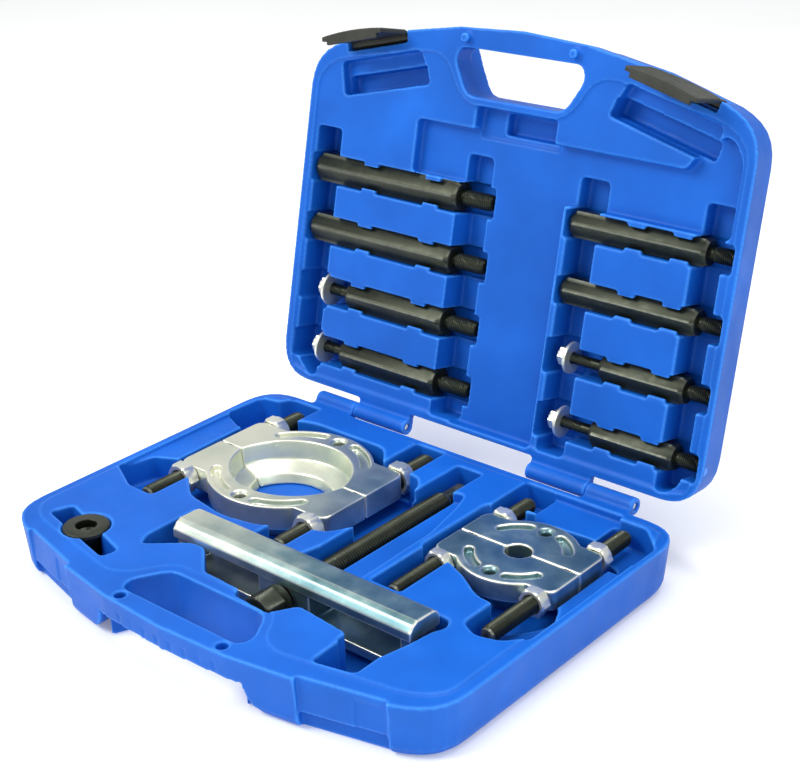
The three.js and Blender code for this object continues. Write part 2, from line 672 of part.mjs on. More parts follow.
function placeYoke() {
  place('yoke', yoke(), 'zinc', base, [YOKE.x, -YOKE.out, 0]);
  const at = [SCREW.x, 0, SCREW.z];
  const { outShoulder, outTip, outHead, outCollar, outEnd } = SCREW;
  const shank = bar('y', SCREW.radius, -outHead, -outShoulder, 24);
  const collar = bar('y', SCREW.collarRadius, -outHead, -outCollar, 24);
  const head = bar('y', cornerRadius(SCREW.headFlats), -outEnd, -outHead, 6);
  const socket = bar('y', SCREW.socketRadius, -outShoulder - SCREW.socketDepth, -outShoulder + 1, 16);
  place('forcing_screw', joined([shank, collar, head]).subtract(socket), 'oxide', base, at);
  const stem = bar('y', SCREW.stemRadius, -outShoulder - SCREW.stemLength, -outShoulder + 1, 16);
  const nose = bar('y', SCREW.tipRadius, -outShoulder + GAP, -outTip - SCREW.tipPoint, 24);
  const point = bar('y', SCREW.tipRadius, -outTip - SCREW.tipPoint, -outTip, 24, SCREW.tipEndRadius);
  place('screw_tip', joined([stem, nose, point]), 'oxide', base, at);
}

function pilotCone() {
  const { radius, flange, coneTop, coneEnd, length, bore } = CONE;
  const profile = [
    [bore, 0], [radius - 0.8, 0], [radius, -0.8], [radius, -flange], [coneTop, -flange],
    [coneEnd, -length], [bore - 1.5, -length], [bore - 1.5, -flange - 2], [bore, -flange - 2], [bore, 0],
  ].map(([r, z]) => new THREE.Vector2(r, z));
  return solid(new THREE.LatheGeometry(profile.reverse(), 32).rotateX(Math.PI / 2));
}

// ---------------------------------------------------------------- rods

// A hexagonal rod with a stud at its right end. A short rod has a long thin stud at its left end too,
// with a washer and a nut on it.
function rodBody(rod, left, short) {
  const corner = cornerRadius(rod.flats);
  const middle = bar('x', corner, left + 3, rod.right, 6);
  const cap = bar('x', corner - 2.5, left, left + 3, 6, corner);
  const neck = bar('x', rod.threadRadius - 1, rod.right - 1, rod.right + 3, 10);
  const thread = bar('x', rod.threadRadius, rod.right + 3, rod.right + rod.thread - 1.5, 12);
  const tip = rod.right + rod.thread;
  const end = bar('x', rod.threadRadius, tip - 1.5, tip, 12, rod.threadRadius - 1.4);
  const parts = [middle, cap, neck, thread, end];
  if (short) parts.push(bar('x', rod.studRadius, rod.washerAt - 10.6, left + 1, 12));
  return joined(parts);
}

function placeRods(name, rod) {
  ROW_UP.forEach((up, row) => {
    const short = row > 1;
    const left = short ? rod.shortLeft : rod.left;
    const at = [0, up, -rod.deep];
    place(`${name}_rod_${row + 1}`, rodBody(rod, left, short), 'oxide', lid, at);
    if (!short) return;
    const bore = bar('x', rod.studRadius + BORE_ROOM, rod.washerAt - 20, rod.washerAt + 5, 12);
    const washer = bar('x', rod.washerRadius, rod.washerAt - WASHER_THICK, rod.washerAt, 20);
    place(`${name}_washer_${row + 1}`, washer.subtract(bore), 'steel', lid, at);
    const under = rod.washerAt - WASHER_THICK - GAP;
    const nut = bar('x', cornerRadius(rod.nutFlats), under - ROD_NUT_THICK, under, 6);
    place(`${name}_rod_nut_${row + 1}`, nut.subtract(bore), 'steel', lid, at);
  });
}

// ---------------------------------------------------------------- assembly

place('case_base', caseBase(), 'plastic', base);
place('case_lid', caseLid(), 'plastic', lid);
[['left', -1], ['right', 1]].forEach(([name, mirror]) => {
  const from = mirror * (HINGE.inner + HINGE.outer) / 2 - 39;
  place(`hinge_pin_${name}`, bar('x', HINGE.pinRadius, from, from + 78, 16), 'steel', base);
  placeLatch(name, mirror);
});

placeSeparator('large', LARGE, lensCut([
  [1, -13, 46.5, 45], [-13, -18.5, 45, 34], [-18.5, -26, 34, 31],
], 9.5), { left: [22, 165], right: [18, 160] });
placeSeparator('small', SMALL, lensCut([
  [1, -9, 8.5, 8.5], [-9, -24, 8.5, 24],
], 0.8), { left: [26, 158], right: [24, 160] });

placeYoke();
place('pilot_cone', pilotCone(), 'oxide', base, [CONE.x, -CONE.out, CONE.top]);
placeRods('large', LARGE_ROD);
placeRods('small', SMALL_ROD);

export default object;
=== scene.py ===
# The looks of the gear puller set: materials, fine shapes, floor, light and camera round the CAD frame.
#
# Metres, +Z up, the CAD's own frame. Sizes are given in millimetres and turned into metres by MM.
# "out" is the distance from the hinge line in the base, "up" the same in the lid, and "deep" is
# measured into the lid from its parting plane.

import json
import math

import bmesh
import bpy
import numpy as np
from mathutils import Matrix, Vector


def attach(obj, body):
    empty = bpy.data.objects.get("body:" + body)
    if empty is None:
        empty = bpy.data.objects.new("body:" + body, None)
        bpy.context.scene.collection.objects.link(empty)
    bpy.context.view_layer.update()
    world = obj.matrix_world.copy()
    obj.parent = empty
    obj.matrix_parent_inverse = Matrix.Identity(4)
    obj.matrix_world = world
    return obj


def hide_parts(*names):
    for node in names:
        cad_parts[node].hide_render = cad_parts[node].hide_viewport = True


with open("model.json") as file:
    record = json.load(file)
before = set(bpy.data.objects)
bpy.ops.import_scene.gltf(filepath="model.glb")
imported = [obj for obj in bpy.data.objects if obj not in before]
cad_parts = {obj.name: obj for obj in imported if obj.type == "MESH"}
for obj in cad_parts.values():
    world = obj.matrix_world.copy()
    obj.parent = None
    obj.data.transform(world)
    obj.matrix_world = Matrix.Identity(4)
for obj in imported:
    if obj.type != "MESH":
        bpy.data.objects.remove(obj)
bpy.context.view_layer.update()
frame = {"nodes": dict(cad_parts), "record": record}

MM = 0.001
GAP = 0.4  # clearance between pieces that touch
HINGE = Vector((0, 0.132, 0.034))
LID_TILT = math.radians(77)
BASE_FRAME = Matrix.Translation(HINGE)
LID_FRAME = Matrix.Translation(HINGE) @ Matrix.Rotation(LID_TILT, 4, "X")
SIDES = (("left", -1), ("right", 1))

# ---------------------------------------------------------------- camera, light and floor

CAMERA_AT = Vector((0.5944, -0.6077, 0.5101))
CAMERA_TO = Vector((-0.10207, 0.18338, 0.034))
CAMERA_ROLL = math.radians(-1.82)
CAMERA_LENS = 72.28


def make_camera():
    data = bpy.data.cameras.new("camera")
    data.lens = CAMERA_LENS
    data.sensor_width = 36
    data.clip_start = 0.05
    camera = bpy.data.objects.new("camera", data)
    bpy.context.scene.collection.objects.link(camera)
    aim = (CAMERA_TO - CAMERA_AT).to_track_quat("-Z", "Y").to_matrix().to_4x4()
    camera.matrix_world = Matrix.Translation(CAMERA_AT) @ aim @ Matrix.Rotation(CAMERA_ROLL, 4, "Z")
    bpy.context.scene.camera = camera


def area_light(name, at, to, size, power, colour=(1, 1, 1)):
    data = bpy.data.lights.new(name, "AREA")
    data.shape = "SQUARE"
    data.size = size
    data.energy = power
    data.color = colour
    light = bpy.data.objects.new(name, data)
    bpy.context.scene.collection.objects.link(light)
    light.location = at
    light.rotation_euler = (Vector(to) - Vector(at)).to_track_quat("-Z", "Y").to_euler()


def make_studio():
    scene = bpy.context.scene
    scene.view_settings.view_transform = "Standard"
    world = bpy.data.worlds.new("studio")
    scene.world = world
    world.use_nodes = True
    background = world.node_tree.nodes["Background"]
    background.inputs["Color"].default_value = (0.97, 0.985, 1.0, 1)
    background.inputs["Strength"].default_value = 0.66
    area_light("key", (-0.9, -1.1, 1.5), (0, 0, 0.1), 0.9, 26, (1.0, 0.98, 0.94))
    area_light("top", (0.2, 0.3, 1.6), (0, 0.05, 0.05), 0.8, 12)
    area_light("fill", (1.5, -0.4, 0.7), (0, 0, 0.1), 0.9, 6, (0.96, 1.0, 0.98))
    bpy.ops.mesh.primitive_plane_add(size=14, location=(0, 0, 0))
    floor = bpy.context.object
    floor.name = "floor"
    floor.data.materials.append(floor_material())


# ---------------------------------------------------------------- materials

def new_material(name, roughness, metallic=0.0):
    material = bpy.data.materials.new(name)
    material.use_nodes = True
    shader = material.node_tree.nodes["Principled BSDF"]
    shader.inputs["Roughness"].default_value = roughness
    shader.inputs["Metallic"].default_value = metallic
    return material, shader


def add_node(material, kind, **values):
    node = material.node_tree.nodes.new(kind)
    for key, value in values.items():
        if key in node.inputs:
            node.inputs[key].default_value = value
        else:
            setattr(node, key, value)
    return node


def connect(material, start, end):
    material.node_tree.links.new(start, end)


def noise(material, scale, detail=4.0, rough=0.55, stretch=(1, 1, 1)):
    place = add_node(material, "ShaderNodeTexCoord")
    mapping = add_node(material, "ShaderNodeMapping")
    mapping.inputs["Scale"].default_value = stretch
    node = add_node(material, "ShaderNodeTexNoise")
    node.inputs["Scale"].default_value = scale
    node.inputs["Detail"].default_value = detail
    node.inputs["Roughness"].default_value = rough
    connect(material, place.outputs["Object"], mapping.inputs["Vector"])
    connect(material, mapping.outputs["Vector"], node.inputs["Vector"])
    return node.outputs["Fac"]


def ramp(material, source, stops):
    node = add_node(material, "ShaderNodeValToRGB")
    elements = node.color_ramp.elements
    while len(elements) < len(stops):
        elements.new(0.5)
    for element, (position, colour) in zip(elements, stops):
        element.position = position
        element.color = (*colour, 1)
    connect(material, source, node.inputs["Fac"])
    return node.outputs["Color"]


def spread(material, source, low, high):
    node = add_node(material, "ShaderNodeMapRange")
    node.inputs["From Min"].default_value = 0.3
    node.inputs["From Max"].default_value = 0.7
    node.inputs["To Min"].default_value = low
    node.inputs["To Max"].default_value = high
    connect(material, source, node.inputs["Value"])
    return node.outputs["Result"]


def blend_colours(material, factor, first, second):
    node = add_node(material, "ShaderNodeMix", data_type="RGBA")
    connect(material, factor, node.inputs[0])
    connect(material, first, node.inputs[6])
    connect(material, second, node.inputs[7])
    return node.outputs[2]


def bump(material, shader, source, distance, strength=1.0, after=None):
    node = add_node(material, "ShaderNodeBump")
    node.inputs["Distance"].default_value = distance
    node.inputs["Strength"].default_value = strength
    connect(material, source, node.inputs["Height"])
    if after is not None:
        connect(material, after, node.inputs["Normal"])
    connect(material, node.outputs["Normal"], shader.inputs["Normal"])
    return node.outputs["Normal"]


def edge_mask(material, low, high):
    geometry = add_node(material, "ShaderNodeNewGeometry")
    return ramp(material, geometry.outputs["Pointiness"], [(low, (0, 0, 0)), (high, (1, 1, 1))])


def plastic_material():
    material, shader = new_material("blue_plastic", 0.5)
    shader.inputs["Specular IOR Level"].default_value = 0.2
    blotches = ramp(material, noise(material, 16, 3), [
        (0.3, (0.004, 0.092, 0.46)), (0.55, (0.005, 0.112, 0.55)), (0.75, (0.007, 0.134, 0.63)),
    ])
    # Painted highlight: a paler, brighter blue laid on the rounded edges by the edge mask.
    pale = ramp(material, noise(material, 900, 2), [
        (0.2, (0.03, 0.22, 0.80)), (0.8, (0.06, 0.30, 0.90)),
    ])
    colour = blend_colours(material, edge_mask(material, 0.505, 0.56), blotches, pale)
    connect(material, colour, shader.inputs["Base Color"])
    connect(material, spread(material, noise(material, 60, 3), 0.40, 0.54), shader.inputs["Roughness"])
    waves = bump(material, shader, noise(material, 26, 2), 0.0006, 0.5)
    bump(material, shader, noise(material, 1400, 3, 0.6), 0.00016, 0.6, waves)
    return material


def along_x(material, low, high):
    """0 at the first place along X, 1 at the second, with a soft uneven border. Places are in metres."""
    place = add_node(material, "ShaderNodeTexCoord")
    parts = add_node(material, "ShaderNodeSeparateXYZ")
    connect(material, place.outputs["Object"], parts.inputs["Vector"])
    shift = spread(material, noise(material, 30, 3), -0.03, 0.03)
    added = add_node(material, "ShaderNodeMath", operation="ADD")
    connect(material, parts.outputs["X"], added.inputs[0])
    connect(material, shift, added.inputs[1])
    share = add_node(material, "ShaderNodeMapRange")
    share.inputs["From Min"].default_value = low
    share.inputs["From Max"].default_value = high
    connect(material, added.outputs["Value"], share.inputs["Value"])
    return share.outputs["Result"]


def zinc_material():
    """Forged steel with a yellowish-white zinc coat, a painted blue-green reflection of the blue case that
    grows to the right, and painted highlights on its edges.
    """
    material, shader = new_material("zinc_steel", 0.3, 0.85)
    pale = ramp(material, noise(material, 24, 4), [
        (0.3, (0.62, 0.68, 0.58)), (0.5, (0.78, 0.80, 0.66)), (0.72, (0.90, 0.89, 0.74)),
    ])
    # Painted reflection: the blue case mirrored in the zinc, as a blue-green tint blended in towards +X.
    painted_blue_reflection = ramp(material, noise(material, 40, 4), [
        (0.3, (0.10, 0.22, 0.26)), (0.55, (0.22, 0.36, 0.38)), (0.75, (0.46, 0.56, 0.52)),
    ])
    colour = blend_colours(material, along_x(material, -0.09, 0.03), pale, painted_blue_reflection)
    # Painted highlight: a warm pale white on the sharp edges, found from pointiness.
    painted_edge_highlight = ramp(material, noise(material, 200, 2), [
        (0.3, (0.90, 0.90, 0.74)), (0.7, (0.97, 0.96, 0.84)),
    ])
    colour = blend_colours(material, edge_mask(material, 0.503, 0.525), colour, painted_edge_highlight)
    connect(material, colour, shader.inputs["Base Color"])
    connect(material, spread(material, noise(material, 40, 3), 0.27, 0.40), shader.inputs["Roughness"])
    forged = bump(material, shader, noise(material, 60, 2), 0.0004, 0.25)
    bump(material, shader, noise(material, 700, 3), 0.00004, 0.25, forged)
    return material


def bright_material():
    material, shader = new_material("bright_steel", 0.3, 0.8)
    colour = ramp(material, noise(material, 50, 3), [
        (0.3, (0.72, 0.76, 0.68)), (0.7, (0.93, 0.92, 0.80)),
    ])
    connect(material, colour, shader.inputs["Base Color"])
    connect(material, spread(material, noise(material, 80, 3), 0.26, 0.38), shader.inputs["Roughness"])
    bump(material, shader, noise(material, 500, 3), 0.00003, 0.25)
    return material


def oxide_material():
    material, shader = new_material("black_steel", 0.4, 0.7)
    colour = ramp(material, noise(material, 45, 5), [
        (0.3, (0.014, 0.018, 0.011)), (0.6, (0.027, 0.032, 0.020)), (0.8, (0.044, 0.049, 0.032)),
    ])
    # Lighter colour on the sharp edges, found from pointiness.
    lighter_edges = ramp(material, noise(material, 300, 3), [
        (0.3, (0.10, 0.11, 0.085)), (0.8, (0.20, 0.21, 0.18)),
    ])
    colour = blend_colours(material, edge_mask(material, 0.53, 0.62), colour, lighter_edges)
    connect(material, colour, shader.inputs["Base Color"])
    connect(material, spread(material, noise(material, 180, 4), 0.30, 0.44), shader.inputs["Roughness"])
    bump(material, shader, noise(material, 900, 3), 0.00005, 0.3)
    return material


def latch_material():
    material, shader = new_material("latch_plastic", 0.5)
    colour = ramp(material, noise(material, 70, 4), [
        (0.3, (0.010, 0.012, 0.008)), (0.75, (0.026, 0.029, 0.020)),
    ])
    connect(material, colour, shader.inputs["Base Color"])
    connect(material, spread(material, noise(material, 200, 3), 0.38, 0.55), shader.inputs["Roughness"])
    bump(material, shader, noise(material, 1500, 3), 0.00012, 0.5)
    return material


def floor_material():
    material, shader = new_material("floor", 0.9)
    colour = ramp(material, noise(material, 3, 2), [
        (0.3, (0.90, 0.90, 0.90)), (0.7, (0.93, 0.93, 0.93)),
    ])
    connect(material, colour, shader.inputs["Base Color"])
    shader.inputs["Emission Color"].default_value = (1, 1, 1, 1)
    shader.inputs["Emission Strength"].default_value = 0.16
    return material


MATERIALS = {
    "blue_plastic": plastic_material(),
    "zinc_steel": zinc_material(),
    "bright_steel": bright_material(),
    "black_steel": oxide_material(),
    "latch_plastic": latch_material(),
}
SLOT_OF = {part["node"]: part["material_slot"] for part in frame["record"]["subparts"]}
BODIES = frame["record"]["behaviour"]["bodies"]
BODY_OF = {node: body for body, nodes in BODIES.items() for node in nodes}

# ---------------------------------------------------------------- mesh helpers


def new_object(name, mesh):
    piece = bpy.data.objects.new(name, mesh)
    bpy.context.scene.collection.objects.link(piece)
    return piece


def mesh_from(name, vertices, faces, matrix=Matrix.Identity(4)):
    mesh = bpy.data.meshes.new(name)
    mesh.from_pydata([matrix @ (Vector(v) * MM) for v in vertices], [], faces)
    mesh.update()
    return mesh


def box_mesh(x0, x1, y0, y1, z0, z1, matrix=Matrix.Identity(4)):
    vertices = [(x, y, z) for z in (z0, z1) for y in (y0, y1) for x in (x0, x1)]
    faces = [(0, 2, 3, 1), (4, 5, 7, 6), (0, 1, 5, 4), (2, 6, 7, 3), (0, 4, 6, 2), (1, 3, 7, 5)]
    return mesh_from("box", vertices, faces, matrix)


def prism_mesh(points, low, high):
    area = sum(x0 * y1 - x1 * y0 for (x0, y0), (x1, y1) in zip(points, points[1:] + points[:1]))
    if area < 0:
        points = points[::-1]
    count = len(points)
    vertices = [(x, y, z) for z in (low, high) for x, y in points]
    faces = [tuple(range(count))[::-1], tuple(range(count, 2 * count))]
    faces += [(i, (i + 1) % count, (i + 1) % count + count, i + count) for i in range(count)]
    return mesh_from("prism", vertices, faces)


def joined(name, meshes):
    bm = bmesh.new()
    for mesh in meshes:
        bm.from_mesh(mesh)
    mesh = bpy.data.meshes.new(name)
    bm.to_mesh(mesh)
    bm.free()
    return mesh


def applied(piece):
    """The piece's mesh with its modifiers applied."""
    depsgraph = bpy.context.evaluated_depsgraph_get()
    mesh = bpy.data.meshes.new_from_object(piece.evaluated_get(depsgraph))
    piece.modifiers.clear()
    piece.data = mesh
    return piece


def cut_away(mesh, cutters):
    piece = new_object("cutting", mesh)
    tool = new_object("cutter", joined("cutter", cutters))
    cut = piece.modifiers.new("cut", "BOOLEAN")
    cut.operation = "DIFFERENCE"
    cut.solver = "EXACT"
    cut.use_self = True
    cut.object = tool
    applied(piece)
    mesh = piece.data
    bpy.data.objects.remove(tool)
    bpy.data.objects.remove(piece)
    return mesh


def keep_outer_shell(mesh):
    """Drops every loose part but the one with the farthest vertex."""
    bm = bmesh.new()
    bm.from_mesh(mesh)
    start = max(bm.verts, key=lambda vertex: vertex.co.x)
    seen = {start}
    waiting = [start]
    while waiting:
        vertex = waiting.pop()
        for edge in vertex.link_edges:
            other = edge.other_vert(vertex)
            if other not in seen:
                seen.add(other)
                waiting.append(other)
    bmesh.ops.delete(bm, geom=[vertex for vertex in bm.verts if vertex not in seen], context="VERTS")
    bm.to_mesh(mesh)
    bm.free()


def moulded(name, mesh, voxel, rounds, keep):
    """One skin over everything in the mesh, with its edges rounded, and the share of faces kept."""
    piece = new_object(name, mesh)
    remesh = piece.modifiers.new("skin", "REMESH")
    remesh.mode = "VOXEL"
    remesh.voxel_size = voxel * MM
    applied(piece)
    keep_outer_shell(piece.data)
    smooth = piece.modifiers.new("round", "SMOOTH")
    smooth.factor = 0.5
    smooth.iterations = rounds
    fewer = piece.modifiers.new("fewer", "DECIMATE")
    fewer.ratio = keep
    return applied(piece)


def shade(piece, angle):
    piece.data.shade_smooth()
    if angle:
        piece.data.set_sharp_from_angle(angle=math.radians(angle))


def finish_piece(piece, node, angle=30.0):
    """Gives the piece its material, and lets it stand for its CAD node."""
    piece.data.materials.clear()
    piece.data.materials.append(MATERIALS[SLOT_OF[node]])
    shade(piece, angle)
    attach(piece, BODY_OF[node])
    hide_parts(node)


def cad_mesh(node):
    """A copy of a CAD node's mesh, with its split vertices merged."""
    bm = bmesh.new()
    bm.from_mesh(frame["nodes"][node].data)
    bmesh.ops.remove_doubles(bm, verts=bm.verts, dist=0.002 * MM)
    mesh = bpy.data.meshes.new(node)
    bm.to_mesh(mesh)
    bm.free()
    return mesh


# ---------------------------------------------------------------- turned pieces

TURN = 72  # points round a ring
ANGLES = np.arange(TURN) * 2 * np.pi / TURN


def ring(x, radius, flats=None, phase=0.0):
    """A circle, or where flats is given the circle cut to a hexagon. Angles are from the first axis."""
    radii = np.full(TURN, float(radius))
    if flats:
        step = np.pi / 3
        off = (ANGLES + phase) % step - step / 2
        radii = np.minimum(radii, flats / 2 / np.cos(off))
    return x, radii


def thread(start, end, radius, pitch, depth, steps=6):
    """Rings with a helical ridge between two places, fading out at both ends."""
    rings = []
    count = max(2, int(abs(end - start) / pitch * steps))
    for x in np.linspace(start, end, count):
        turn = (x / pitch - ANGLES / (2 * np.pi)) % 1.0
        valley = 1 - np.abs(2 * turn - 1)
        fade = min(1.0, abs(x - start) / pitch, abs(end - x) / pitch)
        rings.append((x, radius - depth * (1 - fade + fade * valley)))
    return rings


def turned(name, rings, matrix, closed=False):
    """A piece through the rings, round the matrix's X. A closed one comes back to its first ring."""
    vertices = []
    for x, radii in rings:
        for angle, radius in zip(ANGLES, radii):
            vertices.append((x, -radius * math.sin(angle), radius * math.cos(angle)))
    count = len(rings)
    faces = []
    for i in range(count if closed else count - 1):
        here, there = i * TURN, (i + 1) % count * TURN
        for j in range(TURN):
            k = (j + 1) % TURN
            faces.append((here + j, there + j, there + k, here + k))
    if not closed:
        faces.append(tuple(range(TURN)))
        faces.append(tuple(range((count - 1) * TURN, count * TURN))[::-1])
    piece = new_object(name, mesh_from(name, vertices, faces, matrix))
    bm = bmesh.new()
    bm.from_mesh(piece.data)
    bmesh.ops.recalc_face_normals(bm, faces=bm.faces)
    bm.to_mesh(piece.data)
    bm.free()
    return piece


ALONG_Y = Matrix.Rotation(math.pi / 2, 4, "Z")
ALONG_Z = Matrix.Rotation(-math.pi / 2, 4, "Y")

# ---------------------------------------------------------------- rods, washers and rod nuts

ROW_UP = (160, 118, 76, 34)
RODS = {
    "large": dict(
        flats=19, deep=12.6, left=-163, short_left=-124, right=-38, thread=25, radius=5.6, pitch=1.5,
        washer_at=-141.8, washer=12, stud=4, nut=13, stud_pitch=1.25,
    ),
    "small": dict(
        flats=16.5, deep=12, left=51, short_left=87, right=148, thread=18, radius=5, pitch=1.25,
        washer_at=64, washer=10.4, stud=3.6, nut=11, stud_pitch=1.25,
    ),
}
WASHER_THICK = 2.2
ROD_NUT_THICK = 6.5
STUD_END = 10.6  # how far a short rod's stud runs past its washer's inner face
SOCKET = dict(radius=4.2, mouth=5.2, depth=14)  # the blind hole in a long rod's left end
ROOM = 0.3  # between a stud and the hole it runs in


def rod_place(size, row):
    return LID_FRAME @ Matrix.Translation((0, ROW_UP[row - 1] * MM, -size["deep"] * MM))


def rod_stud_rings(size, left):
    """The thin stud of a short rod, from its free end to the rod."""
    stud = size["stud"]
    start = size["washer_at"] - STUD_END
    return [
        ring(start, 0.4), ring(start, stud - 1.2), ring(start + 1, stud - 0.6),
        *thread(start + 1, left - 8, stud, size["stud_pitch"], 0.55),
        ring(left - 8, stud - 0.1), ring(left, stud - 0.1),
    ]


def rod_socket_rings(left):
    """The blind hole in a long rod, from its bottom to its mouth."""
    bottom = left + SOCKET["depth"]
    return [
        ring(bottom, 0.4), ring(bottom, SOCKET["radius"]),
        ring(left + 0.8, SOCKET["radius"]), ring(left, SOCKET["mouth"]),
    ]


def make_rod(name, size, row):
    flats, right, radius = size["flats"], size["right"], size["radius"]
    short = row > 2
    left = size["short_left"] if short else size["left"]
    corner = flats / math.sqrt(3)
    end = right + size["thread"]
    start = rod_stud_rings(size, left) if short else rod_socket_rings(left)
    rings = start + [
        ring(left, corner - 3.0, flats), ring(left + 0.5, corner - 2.2, flats),
        ring(left + 3.2, corner, flats), ring(right - 3.0, corner, flats),
        ring(right - 0.4, corner - 1.8, flats), ring(right, corner - 2.6, flats),
        ring(right, radius - 0.7), ring(right + 2.4, radius - 0.7),
        *thread(right + 2.4, end - 1.2, radius, size["pitch"], 0.75),
        ring(end - 1.2, radius - 0.8), ring(end, radius - 1.6), ring(end, 0.4),
    ]
    piece = turned(f"{name}_rod_{row}_detail", rings, rod_place(size, row))
    finish_piece(piece, f"{name}_rod_{row}", angle=24)


def make_washer(name, size, row):
    radius, bore = size["washer"], size["stud"] + ROOM
    right = size["washer_at"]
    left = right - WASHER_THICK
    rings = [
        ring(left, bore + 0.3), ring(left, radius - 0.5), ring(left + 0.4, radius),
        ring(right - 0.5, radius), ring(right, radius - 0.4), ring(right, bore + 0.3),
        ring(right - 0.4, bore), ring(left + 0.4, bore),
    ]
    piece = turned(f"{name}_washer_{row}_detail", rings, rod_place(size, row), closed=True)
    finish_piece(piece, f"{name}_washer_{row}")


def make_rod_nut(name, size, row):
    flats, bore = size["nut"], size["stud"] + ROOM
    under = size["washer_at"] - WASHER_THICK - GAP
    far = under - ROD_NUT_THICK
    corner = flats / math.sqrt(3)
    rings = [
        ring(far, bore + 0.6), ring(far, corner - 1.1, flats), ring(far + 0.7, corner, flats),
        ring(under - 0.7, corner, flats), ring(under, corner - 1.1, flats), ring(under, bore + 0.6),
        ring(under - 0.6, bore), ring(far + 0.6, bore),
    ]
    piece = turned(f"{name}_rod_nut_{row}_detail", rings, rod_place(size, row), closed=True)
    finish_piece(piece, f"{name}_rod_nut_{row}")


def make_rods():
    for name, size in RODS.items():
        for row in (1, 2, 3, 4):
            make_rod(name, size, row)
        for row in (3, 4):
            make_washer(name, size, row)
            make_rod_nut(name, size, row)


# ---------------------------------------------------------------- separators

SEPARATORS = {
    "large": dict(
        x=-74.5, out=90, top=-0.5, lug_half=65, lug_depth=38, ring=54.5, plate=16.5, body=25,
        body_radius=50, span=56.5, stud=6.3, stud_z=-8.4, flats=19, thick=9, pitch=1.5, hole_at=46, hole=4,
        slot_radius=48.5, slot_width=6.5, slot_from=38, slot_to=74,
        ends=dict(left=(22, 165), right=(18, 160)), offset=9.5,
        opening=((1, -13, 46.5, 45), (-13, -18.5, 45, 34), (-18.5, -26, 34, 31)),
    ),
    "small": dict(
        x=106, out=85, top=-0.8, lug_half=43.5, lug_depth=27, ring=37, plate=13, body=23, body_radius=33,
        span=34.5, stud=5.3, stud_z=-7.2, flats=16, thick=7.5, pitch=1.25, hole_at=27.5, hole=3.3,
        slot_radius=29, slot_width=5.5, slot_from=32, slot_to=68,
        ends=dict(left=(26, 158), right=(24, 160)), offset=0.8,
        opening=((1, -9, 8.5, 8.5), (-9, -24, 8.5, 24)),
    ),
}
SLOT_DEPTH = 4


def rounded_rectangle(half_x, half_y, radius, steps=8):
    points = []
    corners = [(half_x, half_y), (-half_x, half_y), (-half_x, -half_y), (half_x, -half_y)]
    for (x, y), start in zip(corners, (0, 90, 180, 270)):
        centre_x = x - math.copysign(radius, x)
        centre_y = y - math.copysign(radius, y)
        for i in range(steps + 1):
            angle = math.radians(start + 90 * i / steps)
            points.append((centre_x + radius * math.cos(angle), centre_y + radius * math.sin(angle)))
    return points


def cone_mesh(bottom, top, bottom_radius, top_radius, x=0.0, y=0.0, sides=96):
    angles = [2 * math.pi * i / sides for i in range(sides)]
    low = [(x + bottom_radius * math.cos(a), y + bottom_radius * math.sin(a), bottom) for a in angles]
    high = [(x + top_radius * math.cos(a), y + top_radius * math.sin(a), top) for a in angles]
    faces = [tuple(range(sides))[::-1], tuple(range(sides, 2 * sides))]
    faces += [(i, (i + 1) % sides, (i + 1) % sides + sides, i + sides) for i in range(sides)]
    return mesh_from("cone", low + high, faces)


def slot_points(radius, width, start, end, steps=14):
    """A slot along an arc about the origin, with round ends."""
    def arc(centre, size, first, last, count):
        return [
            (centre[0] + size * math.cos(first + (last - first) * i / count),
             centre[1] + size * math.sin(first + (last - first) * i / count))
            for i in range(count + 1)
        ]
    start, end = math.radians(start), math.radians(end)
    far = (radius * math.cos(end), radius * math.sin(end))
    near = (radius * math.cos(start), radius * math.sin(start))
    points = arc((0, 0), radius + width / 2, start, end, steps)
    points += arc(far, width / 2, end, end + math.pi, 8)[1:-1]
    points += arc((0, 0), radius - width / 2, end, start, steps)
    points += arc(near, width / 2, start + math.pi, start + 2 * math.pi, 8)[1:-1]
    return points


def separator_half(size):
    """The rear half about its own centre, top face at z = 0."""
    plate, body = size["plate"], size["body"]
    solid = [
        prism_mesh(rounded_rectangle(size["lug_half"], size["lug_depth"], 6), -plate, 0),
        cone_mesh(-plate, 0, size["ring"], size["ring"]),
        cone_mesh(-body, -plate + 1, size["body_radius"] - 4, size["body_radius"]),
    ]
    cutters = [box_mesh(-200, 200, -200, 0.2, -60, 60)]
    for top, bottom, top_radius, bottom_radius in size["opening"]:
        cutters.append(cone_mesh(bottom, top, bottom_radius, top_radius, 0, -size["offset"]))
    bore_radius = size["stud"] + ROOM
    bore_z = size["stud_z"] - size["top"]
    for mirror in (-1, 1):
        place = Matrix.Translation((mirror * size["span"] * MM, 0, bore_z * MM)) @ ALONG_Y
        bore = turned("bore", [ring(-2, bore_radius), ring(90, bore_radius)], place)
        cutters.append(bore.data)
        bpy.data.objects.remove(bore)
    first, last = size["slot_from"], size["slot_to"]
    for start, end in ((first, last), (180 - last, 180 - first)):
        slot = slot_points(size["slot_radius"], size["slot_width"], start, end)
        cutters.append(prism_mesh(slot, -SLOT_DEPTH, 2))
    cutters.append(cone_mesh(-60, 2, size["hole"], size["hole"], 0, size["hole_at"], 32))
    cutters.append(cone_mesh(-2.2, 1, size["hole"] - 0.2, size["hole"] + 3, 0, size["hole_at"], 32))
    return cut_away(joined("separator", solid), cutters)


